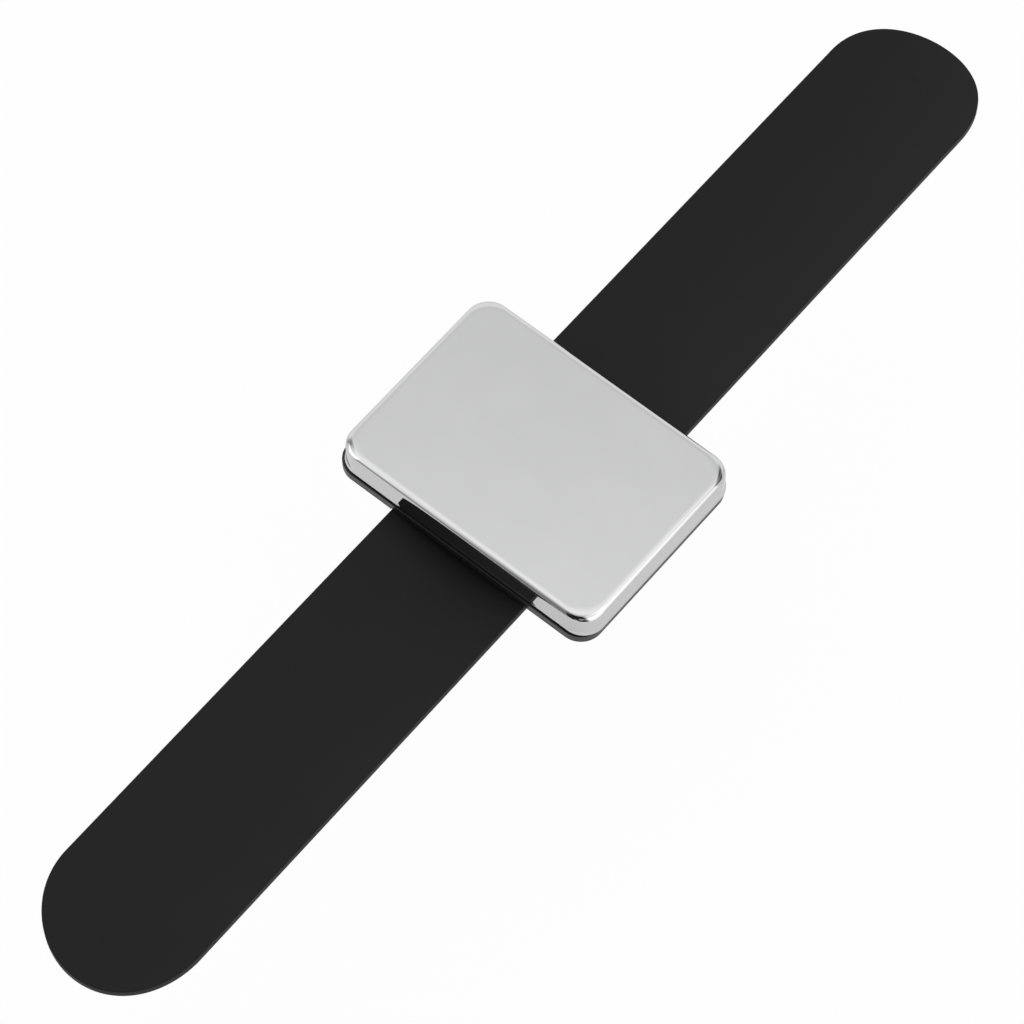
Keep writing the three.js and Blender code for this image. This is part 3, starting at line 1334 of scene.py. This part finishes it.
@dataclass(frozen=True)
class Case:
    """The moulded tray, the clamp plate below the band, their screws and the magnets.

    head_dome is a share of the screw head's radius, head_rise and slot_depth are shares of its height, and
    thread_start is a share of the pitch.
    """

    band: Band
    tray_low: Vector
    tray_high: Vector
    bridge_low: Vector
    bridge_high: Vector
    lip_bottom: float
    lip_thickness: float = 1.85 * MM
    lip_outset: float = 0.1 * MM
    lip_shift: float = 0.04 * MM
    lip_corner: float = 4.3 * MM
    rim_drop: float = 0.45 * MM
    skirt: float = 0.57 * MM
    notch: float = 15 * MM
    lip_upper_edge: float = 0.08 * MM
    lip_lower_edge: float = 0.25 * MM
    wall_corner: float = 3.55 * MM
    wall_inset: float = 1.35 * MM
    wall: float = 1.2 * MM
    rib: float = 1 * MM
    inner_fillet: float = 0.9 * MM
    saddle_inset: float = 2.5 * MM
    overlap: float = 0.4 * MM
    fit: float = 0.2 * MM
    screw_spacing: float = 18 * MM
    screw_radius: float = 1 * MM
    screw_fit: float = 0.3 * MM
    boss_wall: float = 1.6 * MM
    boss_edge: float = 0.2 * MM
    hole_edge: float = 0.05 * MM
    head_radius: float = 1.9 * MM
    head_height: float = 1.2 * MM
    head_sink: float = 0.2 * MM
    head_dome: float = 0.55
    head_rise: float = 0.6
    slot_depth: float = 0.65
    slot_reach: float = 1.05 * MM
    slot_half: float = 0.24 * MM
    screw_length: float = 5 * MM
    thread_pitch: float = 0.45 * MM
    thread_depth: float = 0.18 * MM
    thread_start: float = 0.4
    magnet_fit: float = 0.3 * MM
    magnet_edge: float = 0.25 * MM
    glue: float = 0.1 * MM
    bridge_corner: float = 2.5 * MM
    bridge_edge: float = 0.5 * MM
    edge_steps: int = 6
    lip_steps: int = 20
    round_steps: int = 12
    magnet_steps: int = 6
    bow_steps: int = 32

    @classmethod
    def from_frame(cls, band: Band) -> Case:
        """The case's places from the frame.

        Args:
            band: The band that it holds.

        Returns:
            The case.
        """
        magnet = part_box("magnet_1")[0]
        lip_top = magnet.z - cls.glue
        return cls(band, *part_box("base_tray"), *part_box("strap_bridge"), lip_top - cls.lip_thickness)

    @property
    def lip_top(self) -> float:
        """Height of the lip's upper face, which is the magnets' floor."""
        return self.lip_bottom + self.lip_thickness

    @property
    def middle(self) -> tuple[float, float]:
        """The tray's middle, seen from above."""
        centre = (self.tray_low + self.tray_high) / 2
        return centre.x, centre.y

    @property
    def hole_radius(self) -> float:
        """Radius of a screw hole."""
        return self.screw_radius + self.screw_fit

    @property
    def boss_radius(self) -> float:
        """Outer radius of a screw boss."""
        return self.hole_radius + self.boss_wall

    @property
    def screw_y(self) -> float:
        """Distance of the screws from the middle, across the band."""
        return self.bridge_high.y - self.boss_radius

    def screw_places(self) -> list[tuple[float, float]]:
        """The four screws' places, seen from above."""
        x = self.screw_spacing / 2
        return [(sx * x, sy * self.screw_y) for sx in (-1, 1) for sy in (-1, 1)]

    def plate(
        self, name: str, plan: Plan, low: float, high: float, below: float, above: float
    ) -> bpy.types.Object:
        """A plate with rounded edges.

        Args:
            name: The object's name.
            plan: Its plan.
            low: Height of its underside.
            high: Height of its upper face.
            below: Radius of its lower edge.
            above: Radius of its upper edge.

        Returns:
            The closed object.
        """
        profile = Corner(below, low + below, below, below).points(-QUARTER, 0, self.edge_steps)
        profile += Corner(above, high - above, above, above).points(0, QUARTER, self.edge_steps)
        return plan.loft(name, profile)

    def bow(
        self, name: str, depth: float, low: float, high: float, half: float, top: float
    ) -> bpy.types.Object:
        """A solid between the band's bow at a depth and a flat top.

        Args:
            name: The object's name.
            depth: Depth of the bow below the band's upper face.
            low: Where it starts along X.
            high: Where it ends.
            half: Half its width across the band.
            top: Height of its flat top.

        Returns:
            The closed object.
        """
        radius = self.band.bow_radius + depth
        centre = self.band.top + self.band.bow_radius
        arc = [half * (2 * k / self.bow_steps - 1) for k in range(self.bow_steps + 1)]
        outline = [(y, centre - math.sqrt(radius**2 - y**2)) for y in arc]
        return prism(name, [*outline, (half, top), (-half, top)], low, high)

    def posts(self, name: str, radius: float, low: float, high: float, edge: float) -> bpy.types.Object:
        """Four upright posts at the screws' places."""
        return join(name, [
            self.plate(f"{name}_{k}", Plan.circle(radius, place), low, high, edge, edge)
            for k, place in enumerate(self.screw_places())
        ])

    def build(self) -> list[bpy.types.Object]:
        """All pieces of the case."""
        return [self.tray(), self.bridge(), self.screws(), self.magnets()]

    def room(self) -> tuple[float, float]:
        """The tray's room for the magnets.

        Returns:
            Its width and length.
        """
        size = self.tray_high - self.tray_low
        inset = 2 * (self.wall_inset + self.wall)
        return size.x - inset, size.y - inset

    def pocket(self) -> tuple[float, float]:
        """Width and length of one magnet's pocket, with two across and three along."""
        width, length = self.room()
        return (width - self.rib) / 2, (length - 2 * self.rib) / 3

    def tray(self) -> bpy.types.Object:
        """Make the tray: lip plate, wall, ribs, saddle and screw bosses.

        Returns:
            The tray.
        """
        size = self.tray_high - self.tray_low
        x, y = self.middle
        lip_width, lip_length = size.x + 2 * self.lip_outset, size.y - 2 * self.lip_shift
        lip = Plan(lip_width, lip_length, self.lip_corner, (x, y + self.lip_shift), self.lip_steps)
        rim = self.lip_top - self.rim_drop
        edges = (self.lip_lower_edge, self.lip_upper_edge)
        piece = self.plate("moulded_tray", lip, self.lip_bottom - self.skirt, rim, *edges)
        low, high = (-size.x, -self.notch, 0.0), (size.x, self.notch, self.lip_bottom)
        carve(piece, block("notch", low, high), Carving.CUT)
        foot = rim - self.overlap
        self.add_wall(piece, foot)
        self.add_ribs(piece, foot)
        self.add_saddle(piece)
        return put_on_case(even(tidy(piece)), PLASTIC, "base_tray")

    def add_wall(self, piece: bpy.types.Object, foot: float) -> None:
        """Add the wall round the magnets and clear their room.

        Args:
            piece: The tray.
            foot: Height where the wall starts.
        """
        size = self.tray_high - self.tray_low
        inner, corner = 2 * self.wall_inset, self.inner_fillet
        wall = Plan(size.x - inner, size.y - inner, self.wall_corner, self.middle)
        rise = [ProfilePoint(0.0, foot, 1.0, 0.0)]
        rise += Corner(corner, self.tray_high.z - corner, corner, corner).points(0, QUARTER)
        carve(piece, wall.loft("wall", rise), Carving.ADD)
        hollow = Plan(*self.room(), self.wall_corner - self.wall, self.middle)
        flat = [ProfilePoint(0.0, z, 1.0, 0.0) for z in (self.lip_top, self.tray_high.z + self.wall)]
        carve(piece, hollow.loft("room", flat), Carving.CUT)

    def add_saddle(self, piece: bpy.types.Object) -> None:
        """Add the saddle on the band and the bosses for the screws.

        Args:
            piece: The tray.
        """
        band, reach = self.band, self.bridge_high.x
        high = self.lip_bottom + self.overlap
        half = band.bow_radius * math.sin(band.width / 2 / band.bow_radius) - self.saddle_inset
        carve(piece, self.bow("saddle", -self.fit, -reach, reach, half, high), Carving.ADD)
        bosses = self.posts("bosses", self.boss_radius, self.bridge_high.z, high, self.boss_edge)
        carve(piece, bosses, Carving.ADD)
        depth = self.head_sink + self.head_height + self.screw_length + self.screw_fit
        carve(piece, self.posts("holes", self.hole_radius, 0.0, depth, self.hole_edge), Carving.CUT)

    def add_ribs(self, piece: bpy.types.Object, foot: float) -> None:
        """Add the ribs between the magnets.

        Args:
            piece: The tray.
            foot: Height where the ribs start.
        """
        x, y = self.middle
        width, length = self.room()
        half, top = self.rib / 2, self.tray_high.z - self.inner_fillet
        reach = (length + self.wall) / 2
        carve(piece, block("rib", (x - half, y - reach, foot), (x + half, y + reach, top)), Carving.ADD)
        reach = (width + self.wall) / 2
        step = (self.pocket()[1] + self.rib) / 2
        for at in (y - step, y + step):
            carve(piece, block("rib", (x - reach, at - half, foot), (x + reach, at + half, top)), Carving.ADD)

    def bridge(self) -> bpy.types.Object:
        """Make the clamp plate, with a trough for the band and sunk holes for the screws.

        Returns:
            The clamp plate.
        """
        size = self.bridge_high - self.bridge_low
        plan = Plan(size.x, size.y, self.bridge_corner, steps=self.round_steps)
        low, high = self.bridge_low.z, self.bridge_high.z
        piece = self.plate("clamp_plate", plan, low, high, self.bridge_edge, self.bridge_edge / 2)
        reach = self.bridge_high.x + self.wall
        half = self.band.width / 2 + self.wall
        depth, clear = self.band.thickness + self.fit, high + 4 * self.wall
        carve(piece, self.bow("trough", depth, -reach, reach, half, clear), Carving.CUT)
        sink = self.head_radius + self.screw_fit
        seat = self.head_sink + self.head_height
        for radius, top in ((self.hole_radius, high + self.wall), (sink, seat)):
            carve(piece, self.posts("holes", radius, -self.wall, top, self.hole_edge), Carving.CUT)
        return put_on_case(even(tidy(piece)), PLASTIC, "strap_bridge")

    def screw(self) -> bpy.types.Object:
        """Make one pan-head screw with a cross recess.

        Returns:
            The screw, standing head down at the origin.
        """
        face, seat = self.head_sink, self.head_sink + self.head_height
        shank = self.head_radius - self.screw_radius
        dome, rise = self.head_dome * self.head_radius, self.head_rise * self.head_height
        profile = Corner(dome, face + rise, dome, rise).points(-QUARTER, 0)
        profile += [ProfilePoint(0.0, seat, 0.0, 1.0), ProfilePoint(shank, seat, 0.0, 1.0)]
        pitch = self.thread_pitch
        for turn in range(int((self.screw_length - pitch) / pitch)):
            low = seat + pitch * (turn + self.thread_start)
            profile.append(ProfilePoint(shank + self.thread_depth, low, 1.0, 0.0))
            profile.append(ProfilePoint(shank, low + pitch / 2, 1.0, 0.0))
        profile.append(ProfilePoint(shank + self.screw_radius / 2, seat + self.screw_length, 0.0, 1.0))
        piece = Plan.circle(self.head_radius, steps=self.round_steps).loft("screw", profile)
        bottom = face + self.slot_depth * self.head_height
        for x, y in ((self.slot_reach, self.slot_half), (self.slot_half, self.slot_reach)):
            carve(piece, block("slot", (-x, -y, -face), (x, y, bottom)), Carving.CUT)
        return tidy(piece)

    def screws(self) -> bpy.types.Object:
        """Make the four screws from the clamp plate up into the tray.

        Returns:
            The screws as one piece.
        """
        size = (self.screw_spacing, 2 * self.screw_y)
        piece = PlacesTree().spread("clamp_screws", self.screw(), ZINC, (2, 2), size)
        return put_on_case(piece, ZINC, *(f"screw_{k}" for k in range(1, 5)))

    def magnets(self) -> bpy.types.Object:
        """Make the six block magnets under the cover.

        Returns:
            The magnets as one piece.
        """
        width, length = self.pocket()
        gap, edge = 2 * self.magnet_fit, self.magnet_edge
        corner = self.wall_corner - self.wall
        plan = Plan(width - gap, length - gap, corner, steps=self.magnet_steps)
        low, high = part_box("magnet_1")
        model = self.plate("magnet", plan, low.z, high.z, edge, edge)
        size = (width + self.rib, 2 * (length + self.rib))
        piece = tidy(PlacesTree().spread("block_magnets", model, FERRITE, (2, 3), size, self.middle))
        return put_on_case(piece, FERRITE, *(f"magnet_{k}" for k in range(1, 7)))


@dataclass(frozen=True)
class Panel:
    """A soft panel of the studio, or with a negative strength a dark one.

    It lies in a direction, with its width along level, and fades out at the edge of its half of the sky.
    """

    towards: Triple
    level: Triple
    half_width: float
    half_height: float
    softness: float
    strength: float
    fade: float = 0.05

    def light(self, nodes: Nodes, look: Value) -> Value:
        """The panel's light in a direction.

        Args:
            nodes: The world's nodes.
            look: The direction looked in.

        Returns:
            Its strength there.
        """
        centre = Vector(self.towards).normalized()
        over = centre.cross(Vector(self.level)).normalized()
        ahead = nodes.vector("DOT_PRODUCT", look, centre, output="Value")
        light = nodes.ranged(ahead, 0.0, self.fade, 0.0, self.strength)
        for axis, half in ((over.cross(centre), self.half_width), (over, self.half_height)):
            away = abs(nodes.vector("DOT_PRODUCT", look, axis, output="Value") / ahead)
            light = light * nodes.ranged(away, half, half + self.softness, 1.0, 0.0, "SMOOTHSTEP")
        return light


@dataclass(frozen=True)
class Studio:
    """White floor, soft studio light and the photograph's camera.

    aside and above shift the camera, whose focal length is in the picture's pixels. camera_clear is how far
    the camera sees through the floor, and mirror_white how white the floor is in a mirror.
    """

    azimuth: float = math.radians(-50.3886)
    elevation: float = math.radians(61.5318)
    distance: float = 741.51 * MM
    aside: float = -3.645 * MM
    above: float = -4.66 * MM
    target: Triple = (-0.2 * MM, 0.0, 3.2 * MM)
    focal_pixels: float = 4294.12
    picture: int = 1024
    sensor: float = 36.0
    floor_size: float = 6.0
    floor_drop: float = 50 * MM
    floor_white: float = 0.9
    camera_clear: float = 0.95
    mirror_white: float = 0.34
    sky: float = 0.57
    least_light: float = 0.02
    panels: tuple[Panel, ...] = (
        # overhead
        Panel((0.155, 0.103, 1.0), (0.83, 0.55, 0.0), 0.1, 0.5, 0.5, 0.7),
        # the large light on the right, its low and its high part
        Panel((-0.12, -0.9, 0.43), (0.99, -0.13, 0.0), 0.43, 0.35, 0.36, 0.95),
        Panel((-0.04, -0.52, 0.85), ALONG, 0.32, 0.2, 0.25, 0.6),
        # pale screens: far, left and right
        Panel((0.75, 0.6, 0.3), (-0.62, 0.78, 0.0), 1.0, 0.45, 0.5, 0.5),
        Panel((-0.55, 0.75, 0.3), (0.8, 0.6, 0.0), 0.35, 0.3, 0.2, 0.3),
        Panel((0.65, -0.65, 0.35), (0.7, 0.7, 0.0), 0.4, 0.5, 0.2, 0.3),
        # the light on the left
        Panel((-0.52, 0.62, 0.58), (0.76, -0.07, 0.65), 0.25, 0.28, 0.15, 0.95),
        # dark stands between the lights
        Panel((0.0, 0.78, 0.62), (0.94, 0.34, 0.0), 0.03, 0.35, 0.1, -0.5),
        Panel((0.68, -0.3, 0.66), ACROSS, 0.2, 0.16, 0.2, -0.75),
        # the dark behind the camera, with a paler spot
        Panel((-0.86, 0.05, 0.51), ACROSS, 0.12, 0.6, 0.25, -0.3),
        Panel((-0.96, 0.05, 0.27), ACROSS, 0.15, 0.4, 0.25, -0.3),
        Panel((-0.7, -0.48, 0.53), (0.68, -0.68, 0.27), 0.25, 0.68, 0.18, -0.95),
        Panel((-0.69, -0.43, 0.58), (-0.51, 0.86, 0.0), 0.05, 0.13, 0.15, 0.8),
    )

    def back(self) -> Vector:
        """The way from the object to the camera."""
        flat = math.cos(self.elevation)
        return Vector(
            (math.sin(self.azimuth) * flat, -math.cos(self.azimuth) * flat, math.sin(self.elevation))
        )

    def add_camera(self) -> None:
        """Stand the camera where the photograph was taken from."""
        data = bpy.data.cameras.new("photo camera")
        data.sensor_width = self.sensor
        data.lens = self.focal_pixels * self.sensor / self.picture
        camera = add_object("photo camera", data)
        back = self.back()
        right = Vector((math.cos(self.azimuth), math.sin(self.azimuth), 0))
        over = back.cross(right)
        camera.location = Vector(self.target) + right * self.aside + over * self.above + back * self.distance
        camera.rotation_mode = "QUATERNION"
        camera.rotation_quaternion = (-back).to_track_quat("-Z", "Y")
        bpy.context.scene.camera = camera

    def add_floor(self) -> None:
        """A white floor that keeps a soft shadow.

        The camera looks through it at the white world, so what lies below it still shows.
        """
        half = self.floor_size / 2
        square = ((-half, -half), (half, -half), (half, half), (-half, half))
        corners = [Vector((x, y, -self.floor_drop)) for x, y in square]
        floor = add_mesh("floor", corners, [(0, 1, 2, 3)])
        material = bpy.data.materials.new("white floor")
        material.use_nodes = True
        nodes = Nodes(material.node_tree)
        white = self.floor_white
        plain = nodes.node("ShaderNodeBsdfDiffuse", None, {"Color": (white, white, white, 1.0)})
        glow = nodes.node("ShaderNodeEmission", None, {"Color": WHITE, "Strength": 1.0})
        clear = nodes.node("ShaderNodeBsdfTransparent", None, {"Color": WHITE})
        seen = nodes.ray("Camera") * self.camera_clear
        mirrored = (nodes.ray("Glossy") + nodes.ray("Transmission")) * self.mirror_white
        mixed = nodes.node("ShaderNodeMixShader", None, {0: mirrored, 1: plain, 2: glow})
        shown = nodes.node("ShaderNodeMixShader", None, {0: seen, 1: mixed, 2: clear})
        nodes.node("ShaderNodeOutputMaterial", None, {"Surface": shown})
        floor.data.materials.append(material)

    def add_light(self) -> None:
        """Soft light from all round, with brighter and darker panels for the steel to mirror."""
        world = bpy.data.worlds.new("studio")
        world.use_nodes = True
        bpy.context.scene.world = world
        nodes = Nodes(world.node_tree)
        look = nodes.node("ShaderNodeTexCoord", output="Generated")
        light = None
        for panel in self.panels:
            part = panel.light(nodes, look)
            light = part if light is None else light + part
        light = nodes.math("MAXIMUM", light + self.sky, self.least_light)
        strength = light + nodes.ray("Camera") * (1 - light)
        background = nodes.node("ShaderNodeBackground", None, {"Color": WHITE, "Strength": strength})
        nodes.node("ShaderNodeOutputWorld", None, {"Surface": background})

    def build(self) -> None:
        """Camera, floor and light."""
        bpy.context.scene.view_settings.view_transform = "Standard"
        self.add_camera()
        self.add_floor()
        self.add_light()


def clear_scene() -> None:
    """Remove what a new file starts with."""
    for thing in list(bpy.data.objects):
        bpy.data.objects.remove(thing)


def main() -> None:
    """Build every piece around the frame and report it."""
    logging.basicConfig(level=logging.INFO, format="%(name)s: %(message)s")
    clear_scene()
    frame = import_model()
    Studio().build()
    band = Band.from_frame(frame)
    pieces = [*band.build(), Cover(*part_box("steel_cover")).build(), *Case.from_frame(band).build()]
    for piece in pieces:
        LOG.info("%s: %d faces", piece.name, len(piece.data.polygons))


if __name__ == "__main__":
    main()
